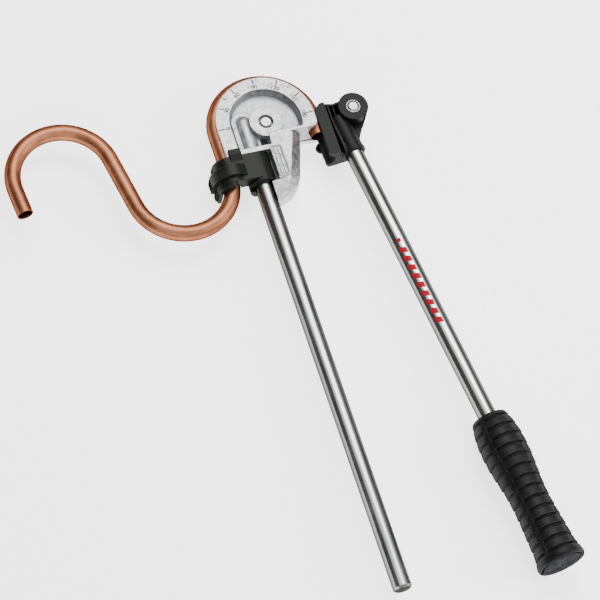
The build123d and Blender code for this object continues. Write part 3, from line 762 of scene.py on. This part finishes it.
def curved_bar(start, end, width, slant):
    """Closed thin bar on the tube: a ring of points, out along the ink's outside and back
    along its foot, at a start and an end station; slant shifts each point along the tube."""
    steps = 10
    across = np.linspace(-0.5, 0.5, steps)
    ring = np.concatenate([across, across[::-1]])
    radius = np.concatenate([np.full(steps, MARK_R), np.full(steps, MARK_FOOT)])
    along = np.array([start, end])[:, None]
    station = along + slant * ring[None, :]
    angle = MARK_TURN + ring[None, :] * width / MARK_R + 0.0 * along
    points = revolved(station, radius[None, :] + 0.0 * along, angle)
    count = len(ring)
    index = np.arange(count)
    after = (index + 1) % count
    sides = np.stack([index, after, after + count, index + count], axis=-1)
    faces = [tuple(face) for face in sides[:, ::-1]]
    strip = np.arange(steps - 1)
    ends = np.stack([strip, strip + 1, count - 2 - strip, count - 1 - strip], axis=-1)
    faces += [tuple(face) for face in ends]
    faces += [tuple(face) for face in (ends + count)[:, ::-1]]
    return points, faces


def print_marks():
    """Nine slanted bars in a row, with one small bar above them."""
    step = (MARK_END - MARK_START) / MARK_BARS
    starts = [MARK_START + step * k for k in range(MARK_BARS)]
    bars = [(start, start + BAR_LENGTH, BAR_WIDTH, BAR_SLANT) for start in starts]
    bars += [SMALL_BAR]
    points, faces, count = [], [], 0
    for bar in bars:
        bar_points, bar_faces = curved_bar(*bar)
        points.append(bar_points)
        faces.extend(tuple(count + v for v in face) for face in bar_faces)
        count += len(bar_points)
    red = printing_ink("print_red", (0.30, 0.001, 0.008), (0.42, 0.002, 0.014))
    made = mesh_object("print_marks", np.concatenate(points) * MM, faces, red, smooth=False)
    return on_lever(made)


print(print_marks().name)

# %% [markdown]
# ## Studio
#
# The tool lies on a plain pale floor that glows a little, as a lit photo table does. Three
# soft lights and a sky do the rest. The sky is bright overhead, so round bars get a broad
# highlight, and dark low on the left, so they get their one dark line.

# %% Floor, lights and sky
FLOOR_GAP = 0.2 * MM
FLOOR_GLOW = 2.2
SKY_STRENGTH = 1.4
SKY_LEAN = 0.55                      # how far the sky's gradient leans to the left


def studio():
    """Pale floor just below the tool, with some light of its own."""
    floor_z = cad_low[2] - FLOOR_GAP
    bpy.ops.mesh.primitive_plane_add(size=12.0, location=(0.0, 0.0, floor_z))
    floor = bpy.context.object
    floor.name = "studio_floor"
    material, tree, shader = new_finish("studio_floor", Roughness=0.9)
    shader.inputs["Base Color"].default_value = (0.96, 0.96, 0.96, 1.0)
    shader.inputs["Emission Color"].default_value = (1.0, 1.0, 1.0, 1.0)
    shader.inputs["Emission Strength"].default_value = FLOOR_GLOW
    floor.data.materials.append(material)


def area_light(name, place, aim, size, power):
    """Rectangular area light at a place, pointing at another place."""
    data = bpy.data.lights.new(name, "AREA")
    data.shape = "RECTANGLE"
    data.size, data.size_y = size
    data.energy = power
    light = bpy.data.objects.new(name, data)
    bpy.context.scene.collection.objects.link(light)
    light.location = place
    direction = Vector(aim) - Vector(place)
    light.rotation_euler = direction.to_track_quat("-Z", "Y").to_euler()


def studio_sky():
    """Sky bright overhead, dark low on the left, and grey low on the right."""
    world = bpy.data.worlds.new("studio_world")
    bpy.context.scene.world = world
    world.use_nodes = True
    tree = world.node_tree
    place = add_node(tree, "ShaderNodeTexCoord")
    split = add_node(tree, "ShaderNodeSeparateXYZ")
    lean = add_node(tree, "ShaderNodeMath", {1: SKY_LEAN}, operation="MULTIPLY")
    level = add_node(tree, "ShaderNodeMath", operation="ADD")
    tree.links.new(place.outputs["Generated"], split.inputs[0])
    tree.links.new(split.outputs["X"], lean.inputs[0])
    tree.links.new(split.outputs["Z"], level.inputs[0])
    tree.links.new(lean.outputs[0], level.inputs[1])
    left = ramp(tree, level.outputs[0],
                [(0.0, (0.08, 0.08, 0.075)), (0.42, (0.08, 0.085, 0.075)),
                 (0.64, (0.95, 0.97, 1.0)), (0.9, (1.0, 1.0, 1.0))])
    right = ramp(tree, split.outputs["X"],
                 [(0.55, (1.0, 1.0, 1.0)), (0.72, (0.30, 0.31, 0.32))])
    full = add_node(tree, "ShaderNodeValue")
    full.outputs[0].default_value = 1.0
    sky = blend_colour(tree, full.outputs[0], left, right, "MULTIPLY")
    tree.links.new(sky, tree.nodes["Background"].inputs["Color"])
    tree.nodes["Background"].inputs["Strength"].default_value = SKY_STRENGTH


studio()
studio_sky()
middle = (0.0, -0.2, 0.0)
area_light("key", (0.5, 0.9, 2.2), middle, (1.6, 1.2), 50.0)
area_light("fill", (1.8, -0.8, 1.2), middle, (1.0, 1.6), 30.0)
area_light("front", (-0.9, -2.2, 1.6), middle, (1.4, 0.8), 16.0)
print("floor, sky and three soft lights")
